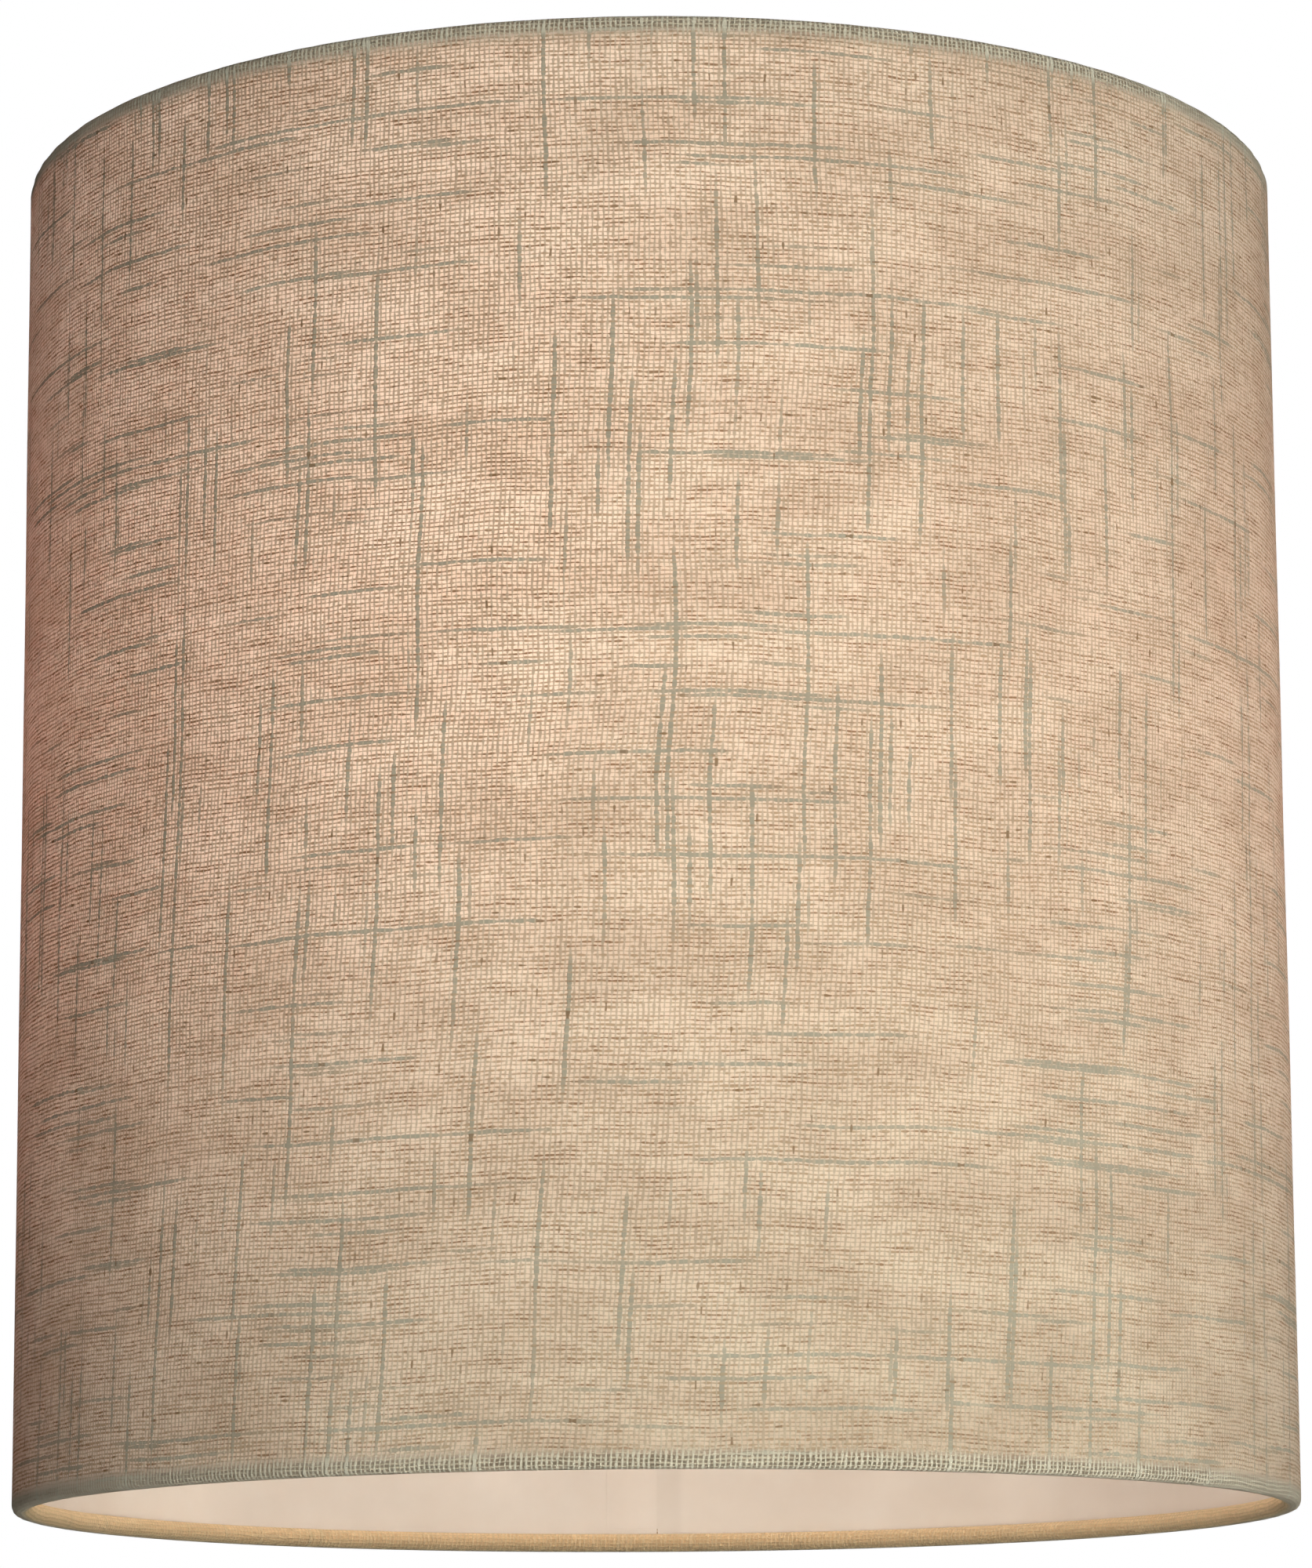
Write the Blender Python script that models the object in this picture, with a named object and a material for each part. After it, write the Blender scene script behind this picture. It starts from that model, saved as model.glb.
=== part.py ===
"""Hardback drum lamp shade: rolled linen edges over two wire rings, and a spider fitter.

Run with: blender --background --python part.py
Metres, +Z up. The origin is the centre of the bottom rim's plane, on the shade's axis. The lapped
seam is at the back, +Y.
"""

import math

import bmesh
import bpy
from mathutils import Vector

# Driving dimensions
OUTER_RADIUS = 0.150
HEIGHT = 0.317
CLOTH = 0.00045
LINER = 0.0004
TAPE = 0.0002
RING_WIRE = 0.003
ARM_WIRE = 0.0025
ARM_COUNT = 3
HUB_DROP = 0.013  # from the top rim down to the hub's top face

# Air left between pieces that touch
PLY_GAP = 0.0001
CLEARANCE = 0.0003

# How round things are cut into facets. Every ply has its corners at the same angles.
FACETS = 72
FACET = math.tau / FACETS
ROLL_STEP = math.radians(30)
ROLL_STEPS = 9  # nine steps of 30 degrees carry the cloth round the wire and in behind it

# The rolled edge: the cloth passes outside the liner, under the wire and up behind it
ROLL_OUTER = (2 * CLOTH + LINER + RING_WIRE + 3 * PLY_GAP) / 2
ROLL_INNER = ROLL_OUTER - CLOTH
ROLL_RADIUS = OUTER_RADIUS - ROLL_OUTER
RIM_INNER_RADIUS = OUTER_RADIUS - 2 * ROLL_OUTER
LINER_RADIUS = OUTER_RADIUS - CLOTH - PLY_GAP
RING_RADIUS = LINER_RADIUS - LINER - PLY_GAP - RING_WIRE / 2
TOP_RING_HEIGHT = HEIGHT - ROLL_OUTER

# The seam: the sheet's end laps one facet over its start, between the two rolled edges
SEAM_ANGLE = math.pi / 2
SEAM_HEM = 0.006
BUTT_GAP = CLEARANCE / OUTER_RADIUS
TAPE_MARGIN = math.radians(0.4)
CLOTH_LIFT = CLOTH + TAPE + 2 * PLY_GAP
LINER_LIFT = -(LINER + PLY_GAP)

# The spider: the hub is a pressed washer, raised in the middle, with the arms under its flange
FIRST_ARM_ANGLE = math.radians(30)
HUB_HOLE_RADIUS = 0.00555
HUB_SEAT_RADIUS = 0.0090
HUB_SLOPE_RADIUS = 0.0102
HUB_RADIUS = 0.0140
HUB_SHEET = 0.0016
HUB_RAISE = 0.0012
HUB_EDGE = 0.0003
HUB_FACETS = 48
HUB_TOP = HEIGHT - HUB_DROP
ARM_HEIGHT = HUB_TOP - HUB_RAISE - HUB_SHEET - CLEARANCE - ARM_WIRE / 2
ARM_START = 0.0107
ARM_SLOPE = math.radians(45)
ARM_BEND_RADIUS = 0.010
ARM_BEND_POINTS = 6

# The slit in the rolled top edge that each arm passes through
SLIT_WIDTH = ARM_WIRE + 2 * CLEARANCE
SLIT_DEPTH = 0.0042  # below the middle of the wire
SLIT_REACH = 0.0009  # outwards from the middle of the roll

CREASE = math.radians(35)


def clear_scene():
    for thing in list(bpy.data.objects):
        bpy.data.objects.remove(thing, do_unlink=True)


def material(name, colour, roughness, metallic=0.0):
    made = bpy.data.materials.new(name)
    made.use_nodes = True
    shader = made.node_tree.nodes["Principled BSDF"]
    shader.inputs["Base Color"].default_value = (*colour, 1.0)
    shader.inputs["Roughness"].default_value = roughness
    shader.inputs["Metallic"].default_value = metallic
    return made


def add(name, data, surface, parent):
    """Put data in the scene as the node called name."""
    piece = bpy.data.objects.new(name, data)
    bpy.context.collection.objects.link(piece)
    piece.data.materials.clear()
    piece.data.materials.append(surface)
    piece.parent = parent
    return piece


def mesh_from(bm, name):
    """A smooth-shaded mesh from bm, with its faces turned outwards."""
    bmesh.ops.recalc_face_normals(bm, faces=bm.faces[:])
    mesh = bpy.data.meshes.new(name)
    bm.to_mesh(mesh)
    bm.free()
    mesh.shade_smooth()
    mesh.set_sharp_from_angle(angle=CREASE)
    return mesh


def roll(radius, centre_height, up):
    """One face of a rolled edge, as (distance from the axis, height), from its tucked end to the wall.

    The corners stand outside the round, so the flats between them touch it. up is 1 at the top rim
    and -1 at the bottom rim.
    """
    corner = radius / math.cos(ROLL_STEP / 2)
    angles = [ROLL_STEP * (step + 0.5) for step in range(ROLL_STEPS, -1, -1)]
    return [
        (ROLL_RADIUS + corner * math.cos(angle), centre_height + up * corner * math.sin(angle))
        for angle in angles
    ]


def cloth_band():
    """The cloth's cross-section as (outer, inner) pairs, and the first and last pair of its lapped wall."""
    bottom = list(zip(roll(ROLL_OUTER, ROLL_OUTER, -1), roll(ROLL_INNER, ROLL_OUTER, -1)))
    top = list(zip(roll(ROLL_OUTER, TOP_RING_HEIGHT, 1), roll(ROLL_INNER, TOP_RING_HEIGHT, 1)))
    wall = [
        ((OUTER_RADIUS, height), (OUTER_RADIUS - CLOTH, height))
        for height in (SEAM_HEM, HEIGHT - SEAM_HEM)
    ]
    return bottom + wall + top[::-1], (len(bottom), len(bottom) + 1)


def liner_band():
    """The liner's cross-section: it stands from the middle of one wire to the middle of the other."""
    heights = (ROLL_OUTER, SEAM_HEM, HEIGHT - SEAM_HEM, TOP_RING_HEIGHT)
    band = [((LINER_RADIUS, height), (LINER_RADIUS - LINER, height)) for height in heights]
    return band, (1, 2)


def lapped_sheet(name, band, wall, lift):
    """A sheet bent once round the axis, whose wall laps one facet past its start, lifted clear of it."""
    bm = bmesh.new()
    first, last = wall

    def station(angle, raised, pairs):
        made = {}
        for index in pairs:
            shift = raised if first <= index <= last else 0.0
            made[index] = [
                bm.verts.new(
                    ((radius + shift) * math.cos(angle), (radius + shift) * math.sin(angle), height)
                )
                for radius, height in band[index]
            ]
        return made

    def skin(near, far):
        """Both faces and both edges of the sheet between two stations."""
        shared = sorted(set(near) & set(far))
        for low, high in zip(shared, shared[1:]):
            for side in (0, 1):
                bm.faces.new((near[low][side], near[high][side], far[high][side], far[low][side]))
        for edge in (shared[0], shared[-1]):
            bm.faces.new((near[edge][0], near[edge][1], far[edge][1], far[edge][0]))

    def end(at, segments):
        for low in segments:
            bm.faces.new((at[low][0], at[low][1], at[low + 1][1], at[low + 1][0]))

    whole = range(len(band))
    lapped = range(first, last + 1)
    stations = [station(SEAM_ANGLE + step * FACET, 0.0, whole) for step in range(FACETS)]
    stations.append(station(SEAM_ANGLE + math.tau - BUTT_GAP, lift, whole))
    flap = [stations[-1]] + [station(SEAM_ANGLE + step * FACET, lift, lapped) for step in (0, 1)]
    for near, far in [*zip(stations, stations[1:]), *zip(flap, flap[1:])]:
        skin(near, far)
    end(stations[0], whole[:-1])
    end(stations[-1], [low for low in whole[:-1] if low not in lapped[:-1]])
    end(flap[-1], lapped[:-1])
    return mesh_from(bm, name)


def tape_mesh(name):
    """The strip of tape between the two plies of the seam."""
    bm = bmesh.new()
    inner = OUTER_RADIUS + PLY_GAP
    heights = (SEAM_HEM + CLEARANCE, HEIGHT - SEAM_HEM - CLEARANCE)
    corners = [
        [
            bm.verts.new((radius * math.cos(angle), radius * math.sin(angle), height))
            for radius in (inner, inner + TAPE)
            for height in heights
        ]
        for angle in (SEAM_ANGLE + TAPE_MARGIN, SEAM_ANGLE + FACET - TAPE_MARGIN)
    ]
    bmesh.ops.convex_hull(bm, input=[vert for row in corners for vert in row])
    return mesh_from(bm, name)


def ring(name, height, surface, parent):
    bpy.ops.mesh.primitive_torus_add(
        major_segments=FACETS,
        minor_segments=8,
        major_radius=RING_RADIUS,
        minor_radius=RING_WIRE / 2,
        location=(0.0, 0.0, height),
    )
    piece = bpy.context.object
    piece.name = name
    piece.data.name = name
    piece.data.shade_smooth()
    piece.data.materials.append(surface)
    piece.parent = parent


def hub_mesh(name):
    """The pressed washer, turned about the axis; heights are measured from its top face."""
    low = -HUB_RAISE
    top = [(HUB_HOLE_RADIUS, 0.0), (HUB_SEAT_RADIUS, 0.0), (HUB_SLOPE_RADIUS, low)]
    rim = [
        (HUB_RADIUS - HUB_EDGE, low),
        (HUB_RADIUS, low - HUB_EDGE),
        (HUB_RADIUS, low - HUB_SHEET + HUB_EDGE),
        (HUB_RADIUS - HUB_EDGE, low - HUB_SHEET),
    ]
    under = [(radius, height - HUB_SHEET) for radius, height in reversed(top)]
    outline = top + rim + under
    bm = bmesh.new()
    rows = [
        [
            bm.verts.new((radius * math.cos(angle), radius * math.sin(angle), height))
            for radius, height in outline
        ]
        for angle in (math.tau * step / HUB_FACETS for step in range(HUB_FACETS))
    ]
    for near, far in zip(rows, rows[1:] + rows[:1]):
        for index in range(len(outline)):
            after = (index + 1) % len(outline)
            bm.faces.new((near[index], near[after], far[after], far[index]))
    return mesh_from(bm, name)


def arm_route():
    """The arm's centre line, in the plane of its own x and z: level from the hub, then up to the ring."""
    away = Vector((math.cos(ARM_SLOPE), 0.0, math.sin(ARM_SLOPE)))
    end = Vector((RING_RADIUS, 0.0, TOP_RING_HEIGHT)) - away * (RING_WIRE / 2 + CLEARANCE)
    corner = end - away * ((end.z - ARM_HEIGHT) / away.z)
    setback = ARM_BEND_RADIUS * math.tan(ARM_SLOPE / 2)
    centre = Vector((corner.x - setback, 0.0, corner.z + ARM_BEND_RADIUS))
    turns = [ARM_SLOPE * step / (ARM_BEND_POINTS - 1) for step in range(ARM_BEND_POINTS)]
    bend = [
        centre + ARM_BEND_RADIUS * Vector((math.sin(turn), 0.0, -math.cos(turn))) for turn in turns
    ]
    return [Vector((ARM_START, 0.0, ARM_HEIGHT)), *bend, end]


def arm_curve(name):
    curve = bpy.data.curves.new(name, "CURVE")
    curve.dimensions = "3D"
    curve.bevel_depth = ARM_WIRE / 2
    curve.bevel_resolution = 2
    curve.use_fill_caps = True
    route = arm_route()
    spline = curve.splines.new("POLY")
    spline.points.add(len(route) - 1)
    for point, place in zip(spline.points, route):
        point.co = (*place, 1.0)
    spline.use_smooth = True
    return curve


def slit(cover, number, angle):
    """Cut the slit in the cover's rolled top edge that an arm at this angle passes through."""
    inner = RIM_INNER_RADIUS - 0.001
    outer = ROLL_RADIUS + SLIT_REACH
    size = (outer - inner, SLIT_WIDTH, SLIT_DEPTH)
    middle = (inner + outer) / 2
    bm = bmesh.new()
    bmesh.ops.create_cube(bm, size=1.0)
    bmesh.ops.scale(bm, vec=size, verts=bm.verts[:])
    cutter = bpy.data.objects.new(f"slit_cutter_{number}", mesh_from(bm, "slit_cutter"))
    bpy.context.collection.objects.link(cutter)
    cutter.location = (
        middle * math.cos(angle),
        middle * math.sin(angle),
        TOP_RING_HEIGHT - SLIT_DEPTH / 2,
    )
    cutter.rotation_euler.z = angle
    cutter.hide_render = True
    cutter.display_type = "WIRE"
    cutter.parent = cover
    cut = cover.modifiers.new(f"slit_{number}", "BOOLEAN")
    cut.operation = "DIFFERENCE"
    cut.solver = "EXACT"
    cut.object = cutter


def build():
    clear_scene()
    shade = bpy.data.objects.new("shade_axis", None)
    bpy.context.collection.objects.link(shade)

    linen = material("linen", (0.50, 0.38, 0.26), 0.9)
    styrene = material("styrene", (0.85, 0.82, 0.76), 0.5)
    tape = material("tape", (0.80, 0.78, 0.70), 0.6)
    steel = material("steel", (0.78, 0.78, 0.76), 0.35)

    cover = add("fabric_cover", lapped_sheet("fabric_cover", *cloth_band(), CLOTH_LIFT), linen, shade)
    add("liner_panel", lapped_sheet("liner_panel", *liner_band(), LINER_LIFT), styrene, shade)
    add("seam_tape", tape_mesh("seam_tape"), tape, shade)
    ring("bottom_ring", ROLL_OUTER, steel, shade)
    ring("top_ring", TOP_RING_HEIGHT, steel, shade)

    hub = add("spider_hub", hub_mesh("spider_hub"), steel, shade)
    hub.location.z = HUB_TOP
    arm = arm_curve("spider_arm")
    for number in range(1, ARM_COUNT + 1):
        angle = FIRST_ARM_ANGLE + math.tau * (number - 1) / ARM_COUNT
        piece = add(f"spider_arm_{number}", arm, steel, shade)
        piece.rotation_euler.z = angle
        slit(cover, number, angle)


build()
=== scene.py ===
"""Linen drum lamp shade with a rolled edge, lit from inside: pieces, materials, lights and camera.

Metres, +Z up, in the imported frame: the origin is the centre of the bottom rim's plane.
"""

import math
from collections import namedtuple

import bmesh  # noqa: E402
import bpy  # noqa: E402
from mathutils import Matrix, Vector, noise  # noqa: E402


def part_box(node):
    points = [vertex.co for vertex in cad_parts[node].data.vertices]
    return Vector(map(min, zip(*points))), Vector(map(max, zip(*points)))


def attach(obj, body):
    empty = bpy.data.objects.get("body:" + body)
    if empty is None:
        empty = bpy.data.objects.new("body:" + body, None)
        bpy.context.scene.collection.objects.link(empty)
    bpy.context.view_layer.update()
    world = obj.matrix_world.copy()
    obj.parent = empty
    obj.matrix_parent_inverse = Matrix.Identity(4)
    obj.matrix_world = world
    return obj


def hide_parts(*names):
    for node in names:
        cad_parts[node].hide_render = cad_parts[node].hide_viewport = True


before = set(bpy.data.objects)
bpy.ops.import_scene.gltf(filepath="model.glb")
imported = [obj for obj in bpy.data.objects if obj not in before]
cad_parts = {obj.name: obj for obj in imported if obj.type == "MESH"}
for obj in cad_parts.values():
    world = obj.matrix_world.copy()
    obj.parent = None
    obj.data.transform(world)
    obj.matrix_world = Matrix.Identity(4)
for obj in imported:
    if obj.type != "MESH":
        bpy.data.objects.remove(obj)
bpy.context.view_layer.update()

# The shade, from the CAD model's own boxes
LOW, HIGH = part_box("fabric_cover")
HEIGHT = HIGH.z - LOW.z
RADIUS = HIGH.x

# The cloth: a sheet that wraps the wall and rolls round both wires
ROLL = 0.0023
ROLL_CENTRE = RADIUS - ROLL
ROLL_TURN = math.radians(292)
ROLL_POINTS = 22
ROLL_SQUARE = 3.0  # 2 is a round outer corner, more is squarer
WALL_POINTS = 64
COLUMNS = 360

# Its lapped seam at the back
SEAM = math.radians(90)
LAP = math.radians(5)
LAP_COLUMNS = 6
LAP_LIFT = 0.00085
LAP_HEM = 0.0062  # how far from each rim the lap stops
LAP_SHOULDER = 0.003  # how much further in it has its full lift
LAP_RAMP = math.radians(1.2)

# Its slits, where the spider's arms pass the top roll
ARM_ANGLES = [math.radians(angle) for angle in (30, 150, 270)]
SLIT_HALF = 0.0016
SLIT_START = 0.52  # the share of the roll's turn that stays whole
SLIT_ROOM = 0.45  # the share of a column's width that is kept free beside a slit's edge

# How it strays from a true drum: slow waves all over and puckers by the rims
CLOTH_INSET = 0.00012  # how far inside the CAD surface the waves have their middle
WAVE = 0.00010
WAVES_ROUND = 5.0
WAVES_A_METRE = 22.0
PUCKER = 0.00022
PUCKERS_ROUND = 26.0
PUCKER_HEM = 0.004  # how far from a rim the puckers are full
PUCKER_FADE = 0.006  # how much further in they end

# The bake map lays the cloth out in two rows with this margin
BAKE_MARGIN = 0.002

# The weave: threads round the shade and up it. Widths are in pitches, waves are per metre
WARP_PITCH = math.tau * RADIUS / 835
WEFT_PITCH = HEIGHT / 340
WARP_SEED, WEFT_SEED = 11.7, 53.3
WARP_HALF, WEFT_HALF = 0.18, 0.19
THREAD_EDGE = 0.11
THREAD_PLACES = (0.12, 0.44)
LANES = 613.0  # the span that the threads' own noises are spread over
SWELL_WAVES, FINE_WAVES, SLUB_WAVES = 75.0, 780.0, 11.0
SWELL_WIDTH, FINE_WIDTH, SLUB_WIDTH = 0.16, 0.30, 0.23
SLUB_FROM = 0.65
SLUB_RISE = 0.05
WANDER = 2.0
WARP_RIPPLE, WEFT_RIPPLE = 0.3, 0.35
LEAN = 0.0105  # how far the warp has leant where it reaches the bottom
WARP_OVER, WARP_UNDER = 0.15, 0.75  # how much of the warp a weft thread hides

# The bands by the rims, as distances up the cloth from the rim: the tuck lies before it. The rim
# band holds painted shade in its gaps and a painted highlight on its threads; the tuck band holds
# painted warm lamplight
RIM_BAND = (0.0028, 0.0048)
TUCK_BAND = (-0.0028, -0.0014)
TUCK_LAMPLIGHT_SHARE = 0.65

# What the threads reflect, pale and dark, and what shows between them as painted shade
WARP_COLOURS = (0.88, 0.81, 0.67), (0.77, 0.67, 0.53)
WEFT_COLOURS = (0.84, 0.73, 0.57), (0.67, 0.53, 0.37)
STREAK_COLOUR = (0.42, 0.28, 0.17)
SLUB_COLOUR = (0.58, 0.565, 0.47)
FLECK_COLOUR = (0.30, 0.165, 0.07)
CLOUD_TINTS = (0.97, 0.95, 0.94), (0.85, 0.81, 0.79)
# Painted shade in the gaps: the liner darker than its own colour in the wall, and dark shade by the
# rims where the roll lies under them
SHADED_LINER_SEEN = (0.61, 0.55, 0.44)
ROLL_SHADE_SEEN = (0.22, 0.20, 0.15)
# Painted highlight: the threads over the rims are lightened towards this
RIM_THREAD_HIGHLIGHT = (0.88, 0.83, 0.71)
# Painted lamplight: the warm gold of the lamp's light on the tuck
TUCK_LAMPLIGHT = (0.94, 0.68, 0.36)

# What the threads and the gaps let through: a spread glow, and a beam that goes on ahead
LIGHT_THROUGH = 0.43  # the share of the cloth's light that comes through it
BEAM_SHARE = 0.75
GLOW_COLOURS = (0.24, 0.010, 0.001), (1.0, 0.05, 0.005)
BEAM_COLOURS = (0.04, 0.04, 0.02), (0.90, 1.0, 0.92)
BEAM_SPREAD = {"RoughnessU": 0.9, "RoughnessV": 0.63}
VEIL_TINTS = (1.0, 1.0, 1.0), (0.86, 0.80, 0.73)
SHUT_COLOUR = (0.05, 0.03, 0.015)
SLUB_SHUTS = 0.92

# The frame's enamel, the liner and the tape, each between two colours
ENAMEL_COLOURS = (0.70, 0.67, 0.60), (0.84, 0.83, 0.80)
STYRENE_COLOURS = (0.78, 0.72, 0.66), (0.92, 0.89, 0.86)
TAPE_COLOURS = (0.46, 0.36, 0.24), (0.58, 0.48, 0.35)
STYRENE_GLOW = 0.58
INNER_PLY_RADIUS = 0.1486  # the liner's own lap steps inside this
# Painted shade: the inner ply of the liner's lap is darkened by this
INNER_PLY_SHADE = (0.93, 0.925, 0.92)

# The CAD meshes' shading: corners this near are one corner, and large faces lead
WELD_DISTANCE = 0.00001
FACE_WEIGHT = 100

# The lamp inside
LAMP_HEIGHT = 0.178
LAMP_RADIUS = 0.03

# The floor fades to white between two distances from its middle
FLOOR_HEIGHT = -1.4
FLOOR_REACH = 6.0
FLOOR_FADE = (1.0, 5.0)
FLOOR_COLOURS = (0.78, 0.78, 0.77), (0.84, 0.84, 0.83)
WHITE = (1.0, 1.0, 1.0)

# The camera, below the shade and in front of it. Angles are in radians
CAMERA_PLACE = (0.0, -1.381, -0.0891)
CAMERA_PITCH, CAMERA_ROLL, CAMERA_YAW = math.radians(10.785), -0.0057, 0.0006
CAMERA_LENS = 134.84
CAMERA_SENSOR = 36.0

Threads = namedtuple("Threads", "at cover slub tone number")


class Graph:
    """Builds one material's nodes. An argument is a number, a tuple or another node's output."""

    def __init__(self, name):
        self.material = bpy.data.materials.new(name)
        self.material.use_nodes = True
        self.tree = self.material.node_tree
        self.tree.nodes.clear()

    def node(self, kind, inputs=(), **settings):
        made = self.tree.nodes.new(kind)
        for name, value in settings.items():
            setattr(made, name, value)
        for socket, value in dict(inputs).items():
            self.plug(made.inputs[socket], value)
        return made

    def plug(self, socket, value):
        if isinstance(value, bpy.types.NodeSocket):
            self.tree.links.new(value, socket)
        elif isinstance(value, tuple) and len(value) == 3 and socket.type == "RGBA":
            socket.default_value = (*value, 1.0)
        else:
            socket.default_value = value

    def math(self, operation, *values):
        return self.node("ShaderNodeMath", enumerate(values), operation=operation).outputs[0]

    def add(self, *values):
        total = values[0]
        for value in values[1:]:
            total = self.math("ADD", total, value)
        return total

    def times(self, *values):
        total = values[0]
        for value in values[1:]:
            total = self.math("MULTIPLY", total, value)
        return total

    def less(self, first, second):
        return self.math("SUBTRACT", first, second)

    def ramp(self, value, start, end, low=0.0, high=1.0):
        """low up to start, high from end on, and a smooth step between them."""
        inputs = {0: value, 1: start, 2: end, 3: low, 4: high}
        made = self.node("ShaderNodeMapRange", inputs, interpolation_type="SMOOTHSTEP")
        return made.outputs[0]

    def point(self, x, y=0.0, z=0.0):
        return self.node("ShaderNodeCombineXYZ", {0: x, 1: y, 2: z}).outputs[0]

    def length(self, vector):
        return self.node("ShaderNodeVectorMath", {0: vector}, operation="LENGTH").outputs[1]

    def place(self):
        """Where a point is in its own object, in metres."""
        return self.node("ShaderNodeTexCoord").outputs["Object"]

    def ray(self, kind):
        return self.node("ShaderNodeLightPath").outputs[kind]

    def noise(self, vector, scale=1.0, detail=0.0, roughness=0.5, dimensions="2D"):
        inputs = {"Vector": vector, "Scale": scale, "Detail": detail, "Roughness": roughness}
        return self.node("ShaderNodeTexNoise", inputs, noise_dimensions=dimensions).outputs[0]

    def waves(self, u, v, u_waves, v_waves, **settings):
        """Noise with so many waves a metre along u and along v."""
        return self.noise(self.point(self.times(u, u_waves), self.times(v, v_waves)), **settings)

    def random(self, vector):
        inputs = {"Vector": vector}
        return self.node("ShaderNodeTexWhiteNoise", inputs, noise_dimensions="2D").outputs[0]

    def blend(self, share, first, second, kind="MIX"):
        made = self.node("ShaderNodeMix", {0: share}, data_type="RGBA", blend_type=kind)
        self.plug(made.inputs[6], first)
        self.plug(made.inputs[7], second)
        return made.outputs[2]

    def shader(self, kind, inputs, **settings):
        return self.node("ShaderNode" + kind, inputs, **settings).outputs[0]

    def mixed(self, share, first, second):
        return self.shader("MixShader", {0: share, 1: first, 2: second})

    def bump(self, height, distance, strength):
        inputs = {"Height": height, "Distance": distance, "Strength": strength}
        return self.node("ShaderNodeBump", inputs).outputs[0]

    def finish(self, surface):
        self.node("ShaderNodeOutputMaterial", {0: surface})
        return self.material


def thread_counts(g, uv, u, v):
    """Which warp and weft thread a point is on, in threads and parts of one.

    The threads wander, and the warp leans further towards the bottom.
    """
    drift = g.waves(u, v, 14.0, 22.0, detail=1.0)
    wander = g.waves(u, v, 26.0, 18.0, detail=1.0)
    warp_ripple = g.noise(uv, scale=330.0)
    weft_ripple = g.waves(u, v, 260.0, 420.0)
    rise = g.less(1.0, g.times(v, 1.0 / HEIGHT))
    lean = g.times(rise, rise, LEAN)
    warp_at = g.add(
        g.times(g.add(u, lean), 1.0 / WARP_PITCH),
        g.times(g.less(drift, 0.5), WANDER),
        g.times(g.less(warp_ripple, 0.5), WARP_RIPPLE),
    )
    weft_at = g.add(
        g.times(v, 1.0 / WEFT_PITCH),
        g.times(g.less(wander, 0.5), WANDER),
        g.times(g.less(weft_ripple, 0.5), WEFT_RIPPLE),
    )
    return warp_at, weft_at


def threads(g, at, along, seed, half_width):
    """One set of threads, where at counts them and along is metres along them.

    cover is how much of a point they cover, slub how much of a slub it is, tone the thread's
    shade there and number the thread's own.
    """
    number = g.math("FLOOR", at)
    place = g.less(at, number)
    lane = g.times(g.random(g.point(number, seed + 0.5)), LANES)
    middle = g.math("MULTIPLY_ADD", g.random(g.point(number, seed)), *THREAD_PLACES)
    swell = g.noise(g.point(lane, g.times(along, SWELL_WAVES)))
    fine = g.noise(g.point(g.add(lane, 0.4), g.times(along, FINE_WAVES)))
    run = g.noise(g.point(g.add(lane, 3.1), g.times(along, SLUB_WAVES)), detail=1.5)
    uneven = g.ramp(fine, 0.3, 0.55, 0.65, 1.0)
    slub = g.times(g.ramp(run, SLUB_FROM, SLUB_FROM + SLUB_RISE), uneven)
    half = g.add(
        g.math("MULTIPLY_ADD", g.less(swell, 0.5), SWELL_WIDTH, half_width),
        g.times(g.less(fine, 0.5), FINE_WIDTH),
        g.times(slub, SLUB_WIDTH),
    )
    away = g.math("ABSOLUTE", g.less(place, middle))
    cover = g.ramp(away, g.less(half, THREAD_EDGE), g.add(half, THREAD_EDGE), 1.0, 0.0)
    tone = g.add(g.times(swell, 0.8), g.times(fine, 0.6), -0.2)
    return Threads(at, cover, slub, tone, number)


def warp_on_top(g, warp, weft):
    """How much of the warp shows, as it goes over one weft thread and under the next."""
    count = g.add(warp.number, weft.number)
    odd = g.math("MODULO", g.math("ABSOLUTE", count), 2.0)
    hidden = g.times(weft.cover, g.ramp(odd, 0.0, 1.0, WARP_OVER, WARP_UNDER))
    return g.times(warp.cover, g.less(1.0, hidden))


def flecks(g, warp, weft):
    """Short flecks in the threads of both sets, one or two threads long and one wide."""
    weft_at = g.point(g.math("FLOOR", g.times(warp.at, 0.7)), weft.number)
    on_weft = g.times(g.ramp(g.random(weft_at), 0.986, 0.999), weft.cover)
    warp_at = g.point(warp.number, g.math("FLOOR", g.times(weft.at, 0.55)))
    on_warp = g.times(g.ramp(g.random(warp_at), 0.990, 0.999), warp.cover)
    return g.math("MAXIMUM", on_weft, on_warp)


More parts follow.
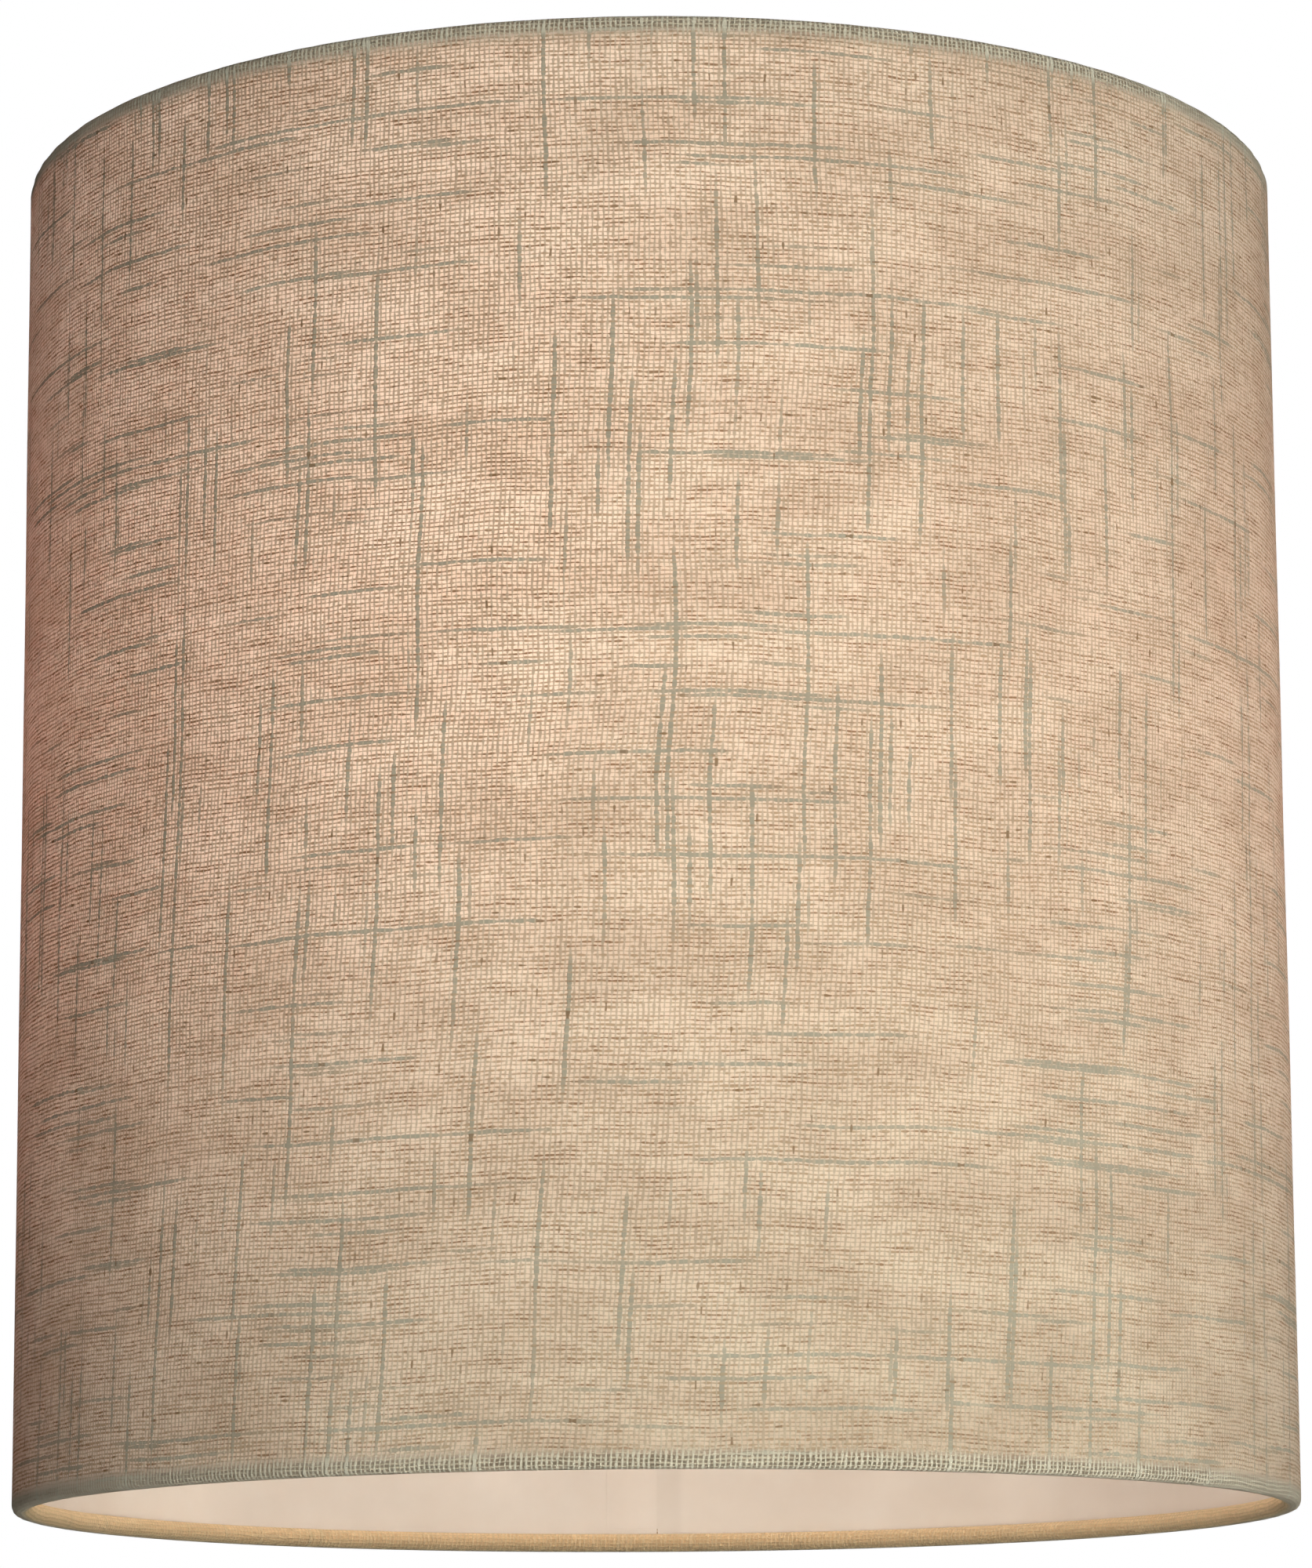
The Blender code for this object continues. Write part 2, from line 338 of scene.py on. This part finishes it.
def linen_colour(g, v, warp, weft, top_warp, fleck, cloud, streak):
    """What the cloth reflects: its threads, with the liner and the roll under them showing in the
    gaps as painted shade, a painted highlight on the rim threads and painted lamplight on the tuck.
    """
    near_rim = g.math("MINIMUM", v, g.less(HEIGHT, v))
    rim = g.ramp(near_rim, *RIM_BAND, 1.0, 0.0)
    # Painted shade in the gaps: a darkened liner in the wall, dark shade by the rims
    gap_shade = g.blend(rim, SHADED_LINER_SEEN, ROLL_SHADE_SEEN)
    warp_colour = g.blend(g.ramp(warp.tone, 0.25, 0.75), *WARP_COLOURS)
    weft_colour = g.blend(g.ramp(weft.tone, 0.25, 0.75), *WEFT_COLOURS)
    weft_colour = g.blend(g.ramp(streak, 0.48, 0.70), weft_colour, STREAK_COLOUR)
    warp_colour = g.blend(warp.slub, warp_colour, SLUB_COLOUR)
    weft_colour = g.blend(weft.slub, weft_colour, SLUB_COLOUR)
    shown = g.blend(weft.cover, gap_shade, weft_colour)
    shown = g.blend(top_warp, shown, warp_colour)
    shown = g.blend(g.times(fleck, 0.7), shown, FLECK_COLOUR)
    clouds = g.blend(g.ramp(cloud, 0.33, 0.67), *CLOUD_TINTS)
    shown = g.blend(1.0, shown, clouds, "MULTIPLY")
    # Painted highlight on the threads over the rims
    rim_highlight = g.times(rim, g.math("MAXIMUM", warp.cover, g.times(weft.cover, 0.6)), 0.9)
    shown = g.blend(rim_highlight, shown, RIM_THREAD_HIGHLIGHT)
    # Painted lamplight: the tuck is blended towards warm gold
    return g.blend(g.ramp(near_rim, *TUCK_BAND, TUCK_LAMPLIGHT_SHARE, 0.0), shown, TUCK_LAMPLIGHT)


def linen_light(g, warp, weft, slub, fleck, cloud, streak):
    """The light that comes through: most between the threads, little through a slub."""
    open_share = g.times(g.less(1.0, warp.cover), g.less(1.0, weft.cover))
    patches = g.ramp(g.add(g.times(cloud, 0.6), g.times(streak, 0.4)), 0.35, 0.65)
    veil = g.blend(patches, *VEIL_TINTS)
    shut = g.math("MAXIMUM", g.times(slub, SLUB_SHUTS), fleck)

    def passing(threads_let, gaps_let):
        colour = g.blend(open_share, threads_let, gaps_let)
        colour = g.blend(shut, colour, SHUT_COLOUR)
        return g.blend(1.0, colour, veil, "MULTIPLY")

    glow = g.shader("BsdfTranslucent", {"Color": passing(*GLOW_COLOURS)})
    upright = g.point(0.0, 0.0, 1.0)
    beam_inputs = {"Color": passing(*BEAM_COLOURS), "Tangent": upright, **BEAM_SPREAD}
    beam = g.shader("BsdfHair", beam_inputs, component="Transmission")
    return g.mixed(BEAM_SHARE, glow, beam)


def linen():
    """Open slubby linen, with clouds and streaks, lit from outside and from inside."""
    g = Graph("linen_cloth")
    uv = g.node("ShaderNodeUVMap", uv_map="Weave").outputs[0]
    split = g.node("ShaderNodeSeparateXYZ", {0: uv})
    u, v = split.outputs[0], split.outputs[1]
    warp_at, weft_at = thread_counts(g, uv, u, v)
    warp = threads(g, warp_at, v, WARP_SEED, WARP_HALF)
    weft = threads(g, weft_at, u, WEFT_SEED, WEFT_HALF)
    top_warp = warp_on_top(g, warp, weft)
    slub = g.math("MAXIMUM", g.times(warp.slub, warp.cover), g.times(weft.slub, weft.cover))
    fleck = flecks(g, warp, weft)
    cloud = g.waves(u, v, 28.0, 60.0, detail=4.0, roughness=0.68)
    streak = g.waves(u, v, 90.0, 420.0, detail=3.0, roughness=0.65)

    colour = linen_colour(g, v, warp, weft, top_warp, fleck, cloud, streak)
    height = g.add(g.times(top_warp, 0.6), g.times(weft.cover, 0.5), g.times(slub, 0.6))
    normal = g.bump(height, 0.00016, 0.8)
    front = g.shader("BsdfDiffuse", {"Color": colour, "Roughness": 0.6, "Normal": normal})
    light = linen_light(g, warp, weft, slub, fleck, cloud, streak)
    return g.finish(g.mixed(LIGHT_THROUGH, front, light))


def enamel():
    """White baked enamel on steel wire and sheet, a little uneven and yellowed."""
    g = Graph("steel_enamel")
    place = g.place()
    patches = g.noise(place, 60.0, 4.0, 0.6, "3D")
    orange_peel = g.noise(place, 1400.0, 2.0, 0.5, "3D")
    inputs = {
        "Base Color": g.blend(patches, *ENAMEL_COLOURS),
        "Roughness": g.ramp(patches, 0.3, 0.7, 0.28, 0.42),
        "Coat Weight": 0.3,
        "Normal": g.bump(orange_peel, 0.00004, 0.5),
    }
    return g.finish(g.shader("BsdfPrincipled", inputs))


def styrene():
    """Matt white sheet, faintly clouded, with painted shade on the inner ply of its lap. Lamp light
    passes it on its way to the cloth.
    """
    g = Graph("styrene_sheet")
    place = g.place()
    cloud = g.noise(place, 40.0, 4.0, 0.6, "3D")
    grain = g.noise(place, 900.0, 2.0, 0.5, "3D")
    inputs = {0: place, 1: (1.0, 1.0, 0.0)}
    level = g.node("ShaderNodeVectorMath", inputs, operation="MULTIPLY").outputs[0]
    # Painted shade on the inner ply of the liner's lap
    step = (INNER_PLY_RADIUS, INNER_PLY_RADIUS + 0.0001)
    inner_ply_shade = g.ramp(g.length(level), *step, 1.0, 0.0)
    colour = g.blend(cloud, *STYRENE_COLOURS)
    colour = g.blend(inner_ply_shade, colour, g.blend(1.0, colour, INNER_PLY_SHADE, "MULTIPLY"))
    inputs = {
        "Base Color": colour,
        "Roughness": g.ramp(cloud, 0.3, 0.7, 0.5, 0.62),
        "Normal": g.bump(grain, 0.00002, 0.4),
    }
    front = g.shader("BsdfPrincipled", inputs)
    glow = g.shader("BsdfTranslucent", {"Color": colour})
    clear = g.shader("BsdfTransparent", {"Color": WHITE})
    return g.finish(g.mixed(g.ray("Is Shadow Ray"), g.mixed(STYRENE_GLOW, front, glow), clear))


def seam_tape():
    """Tan adhesive film with fine upright streaks."""
    g = Graph("seam_tape_film")
    streaks = g.noise(g.place(), 900.0)
    inputs = {
        "Base Color": g.blend(streaks, *TAPE_COLOURS),
        "Roughness": g.ramp(streaks, 0.3, 0.7, 0.35, 0.6),
    }
    return g.finish(g.shader("BsdfPrincipled", inputs))


def profile():
    """The cloth's cross-section from its bottom tuck to its top tuck, as (distance out, height)."""
    turns = [ROLL_TURN * step / ROLL_POINTS for step in range(ROLL_POINTS, -1, -1)]
    bottom = []
    for turn in turns:
        out, down = math.cos(turn), math.sin(turn)
        power = ROLL_SQUARE if turn < math.pi / 2 else 2.0
        reach = ROLL / (abs(out) ** power + abs(down) ** power) ** (1.0 / power)
        bottom.append((ROLL_CENTRE + reach * out, ROLL - reach * down))
    top = [(radius, HEIGHT - height) for radius, height in reversed(bottom)]
    span = HEIGHT - 2 * ROLL
    wall = [(RADIUS, ROLL + span * step / WALL_POINTS) for step in range(1, WALL_POINTS)]
    return bottom + wall + top


def distances(band):
    """How far along the cross-section each of its points is."""
    lengths = [0.0]
    for (r0, z0), (r1, z1) in zip(band, band[1:]):
        lengths.append(lengths[-1] + math.hypot(r1 - r0, z1 - z0))
    return lengths


def station_angles():
    """Where the cloth's columns stand, with a pair of columns at the sides of each slit."""
    half = SLIT_HALF / RADIUS
    edges = [angle + side for angle in ARM_ANGLES for side in (-half, half)]
    edges = [angle + (math.tau if angle < SEAM else 0.0) for angle in edges]
    plain = [SEAM + math.tau * step / COLUMNS for step in range(COLUMNS + 1)]
    room = math.tau / COLUMNS * SLIT_ROOM
    kept = [angle for angle in plain if min(abs(angle - edge) for edge in edges) > room]
    return sorted(kept + edges), edges


def smooth(value):
    value = min(1.0, max(0.0, value))
    return value * value * (3.0 - 2.0 * value)


def lap_lift(past_seam, height):
    """How far the lap stands off: nothing at the rims or away from the seam."""
    above_hem = smooth((height - LAP_HEM) / LAP_SHOULDER)
    below_hem = smooth((HEIGHT - LAP_HEM - height) / LAP_SHOULDER)
    return LAP_LIFT * above_hem * below_hem * smooth((past_seam + LAP_RAMP) / LAP_RAMP)


def cloth_point(angle, radius, height, lap_start):
    outward = Vector((math.cos(angle), math.sin(angle), 0.0))
    wave = WAVE * noise.noise(outward * WAVES_ROUND + Vector((0.0, 0.0, height * WAVES_A_METRE)))
    hem = 1.0 - smooth((min(height, HEIGHT - height) - PUCKER_HEM) / PUCKER_FADE)
    pucker = PUCKER * hem * noise.noise(outward * PUCKERS_ROUND)
    out = radius + wave + pucker + lap_lift(angle - lap_start, height) - CLOTH_INSET
    return (out * outward.x, out * outward.y, height)


def cloth_columns(bm, band, angles, lap_angles):
    """The cloth's vertices, column by column. Outside the lap it closes on its first column."""
    lap_start = angles[-1]
    in_lap = [LAP_HEM <= height <= HEIGHT - LAP_HEM for _, height in band]

    def vertex(angle, index):
        return bm.verts.new(cloth_point(angle, *band[index], lap_start))

    levels = range(len(band))
    columns = [[vertex(angle, index) for index in levels] for angle in angles]
    for index in levels:
        if not in_lap[index]:
            bm.verts.remove(columns[-1][index])
            columns[-1][index] = columns[0][index]
    flap = [
        [vertex(angle, index) if in_lap[index] else None for index in levels]
        for angle in lap_angles
    ]
    return columns + flap


def cloth_mesh():
    """The linen as one sheet, lapped over its own start along the back, and its cut height."""
    band = profile()
    lengths = distances(band)
    cut_height = lengths[-1]
    wall_start = lengths[ROLL_POINTS] - ROLL
    slit_from = len(band) - 1 - ROLL_POINTS + ROLL_POINTS * SLIT_START
    angles, slit_edges = station_angles()
    lap_angles = [angles[-1] + LAP * step / LAP_COLUMNS for step in range(1, LAP_COLUMNS + 1)]

    bm = bmesh.new()
    weave = bm.loops.layers.uv.new("Weave")
    baked = bm.loops.layers.uv.new("OFBake")
    columns = cloth_columns(bm, band, angles, lap_angles)
    angles = angles + lap_angles
    half = (angles[-1] - angles[0]) / 2
    row_height = cut_height + 2 * BAKE_MARGIN
    side = 2 * row_height

    for number, (left, right) in enumerate(zip(angles, angles[1:])):
        row = 0 if (left + right) / 2 - angles[0] < half else 1
        by_arm = left in slit_edges and right in slit_edges
        for index in range(len(band) - 1):
            corners = [
                (number, index),
                (number + 1, index),
                (number + 1, index + 1),
                (number, index + 1),
            ]
            verts = [columns[column][level] for column, level in corners]
            if None in verts or (by_arm and index >= slit_from):
                continue
            face = bm.faces.new(verts)
            face.smooth = True
            for loop, (column, level) in zip(face.loops, corners):
                across = (angles[column] - angles[0]) * RADIUS
                up = lengths[level]
                loop[weave].uv = (across, up - wall_start)
                baked_across = across - row * half * RADIUS + BAKE_MARGIN
                baked_up = up + BAKE_MARGIN + row * row_height
                loop[baked].uv = (baked_across / side, baked_up / side)
    mesh = bpy.data.meshes.new("linen_sheet")
    bm.to_mesh(mesh)
    bm.free()
    return mesh, cut_height


def put(name, data):
    piece = bpy.data.objects.new(name, data)
    bpy.context.scene.collection.objects.link(piece)
    return piece


def build_cloth():
    mesh, cut_height = cloth_mesh()
    cloth = put("linen_sheet", mesh)
    mesh.materials.append(linen())
    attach(cloth, "root")
    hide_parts("fabric_cover")


def dress_frame():
    """Give the CAD nodes their materials, and even the shading across their facets."""
    steel = enamel()
    finishes = {"liner_panel": styrene(), "seam_tape": seam_tape()}
    for name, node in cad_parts.items():
        node.data.shade_smooth()
        node.modifiers.new("weld", "WELD").merge_threshold = WELD_DISTANCE
        node.modifiers.new("even_shading", "WEIGHTED_NORMAL").weight = FACE_WEIGHT
        for slot in node.material_slots:
            slot.material = finishes.get(name, steel)


def add_light(name, kind, energy, colour, at, **settings):
    light = bpy.data.lights.new(name, kind)
    light.energy = energy
    light.color = colour
    for setting, value in settings.items():
        setattr(light, setting, value)
    lamp = put(name, light)
    lamp.location = at
    lamp.visible_camera = False
    return lamp


def around(angle, distance, height):
    """A place beside the shade; angle is measured from the front, towards the right."""
    turn = math.radians(angle)
    return (distance * math.sin(turn), -distance * math.cos(turn), height)


def build_lights():
    """The lamp in the shade, and soft panels that face its middle."""
    lamp_place = (0.0, 0.0, LAMP_HEIGHT)
    add_light("bulb", "POINT", 0.95, (1.0, 0.92, 0.86), lamp_place, shadow_soft_size=LAMP_RADIUS)
    panels = [
        ("key", 7.1, (0.98, 1.0, 0.90), around(17, 0.78, -0.02), 0.68, 0.5),
        ("fill", 3.6, (1.0, 0.92, 0.80), around(-115, 2.2, 0.4), 1.2, 1.2),
        ("back", 24.0, (1.0, 0.98, 0.95), around(165, 2.2, 0.9), 1.2, 1.2),
        ("top", 5.0, (1.0, 0.98, 0.93), (0.0, -0.2, 2.0), 0.8, 0.8),
    ]
    middle = Vector((0.0, 0.0, HEIGHT / 2))
    for name, energy, colour, at, width, height in panels:
        size = {"shape": "RECTANGLE", "size": width, "size_y": height}
        panel = add_light(name, "AREA", energy, colour, at, **size)
        panel.rotation_euler = (middle - Vector(at)).to_track_quat("-Z", "Y").to_euler()


def build_world():
    """Dim warm light from all round, which the camera sees as white."""
    world = bpy.data.worlds.new("studio")
    bpy.context.scene.world = world
    world.use_nodes = True
    tree = world.node_tree
    tree.nodes.clear()
    dim = tree.nodes.new("ShaderNodeBackground")
    dim.inputs["Color"].default_value = (1.0, 0.95, 0.87, 1.0)
    dim.inputs["Strength"].default_value = 0.04
    white = tree.nodes.new("ShaderNodeBackground")
    white.inputs["Color"].default_value = (*WHITE, 1.0)
    path = tree.nodes.new("ShaderNodeLightPath")
    mix = tree.nodes.new("ShaderNodeMixShader")
    output = tree.nodes.new("ShaderNodeOutputWorld")
    tree.links.new(path.outputs["Is Camera Ray"], mix.inputs[0])
    tree.links.new(dim.outputs[0], mix.inputs[1])
    tree.links.new(white.outputs[0], mix.inputs[2])
    tree.links.new(mix.outputs[0], output.inputs["Surface"])


def floor_paper():
    """Pale paper with a light of its own for the camera, and white further out."""
    g = Graph("floor_paper")
    place = g.place()
    colour = g.blend(g.noise(place, 3.0, 3.0), *FLOOR_COLOURS)
    surface = g.shader("BsdfDiffuse", {"Color": colour})
    pale = g.shader("Emission", {"Color": colour})
    shaded = g.shader("AddShader", {0: surface, 1: pale})
    white = g.shader("Emission", {"Color": WHITE})
    shown = g.mixed(g.ramp(g.length(place), *FLOOR_FADE), shaded, white)
    return g.finish(g.mixed(g.ray("Is Camera Ray"), surface, shown))


def build_floor():
    mesh = bpy.data.meshes.new("floor")
    reach = FLOOR_REACH
    corners = [(-reach, -reach, 0), (reach, -reach, 0), (reach, reach, 0), (-reach, reach, 0)]
    mesh.from_pydata(corners, [], [(0, 1, 2, 3)])
    mesh.materials.append(floor_paper())
    floor = put("floor", mesh)
    floor.location.z = FLOOR_HEIGHT


def build_camera():
    """Looking up a little at the shade."""
    level = math.cos(CAMERA_PITCH)
    ahead = Vector(
        (math.sin(CAMERA_YAW) * level, math.cos(CAMERA_YAW) * level, math.sin(CAMERA_PITCH))
    )
    right = Vector((math.cos(CAMERA_YAW), -math.sin(CAMERA_YAW), 0.0))
    up = right.cross(ahead)
    side = math.cos(CAMERA_ROLL) * right + math.sin(CAMERA_ROLL) * up
    top = math.cos(CAMERA_ROLL) * up - math.sin(CAMERA_ROLL) * right
    data = bpy.data.cameras.new("camera")
    data.lens = CAMERA_LENS
    data.sensor_width = CAMERA_SENSOR
    camera = put("camera", data)
    turn = Matrix((side, top, -ahead)).transposed().to_4x4()
    camera.matrix_world = Matrix.Translation(CAMERA_PLACE) @ turn
    bpy.context.scene.camera = camera


bpy.context.scene.view_settings.view_transform = "Standard"
build_camera()
build_world()
build_floor()
build_lights()
build_cloth()
dress_frame()

bpy.context.view_layer.update()
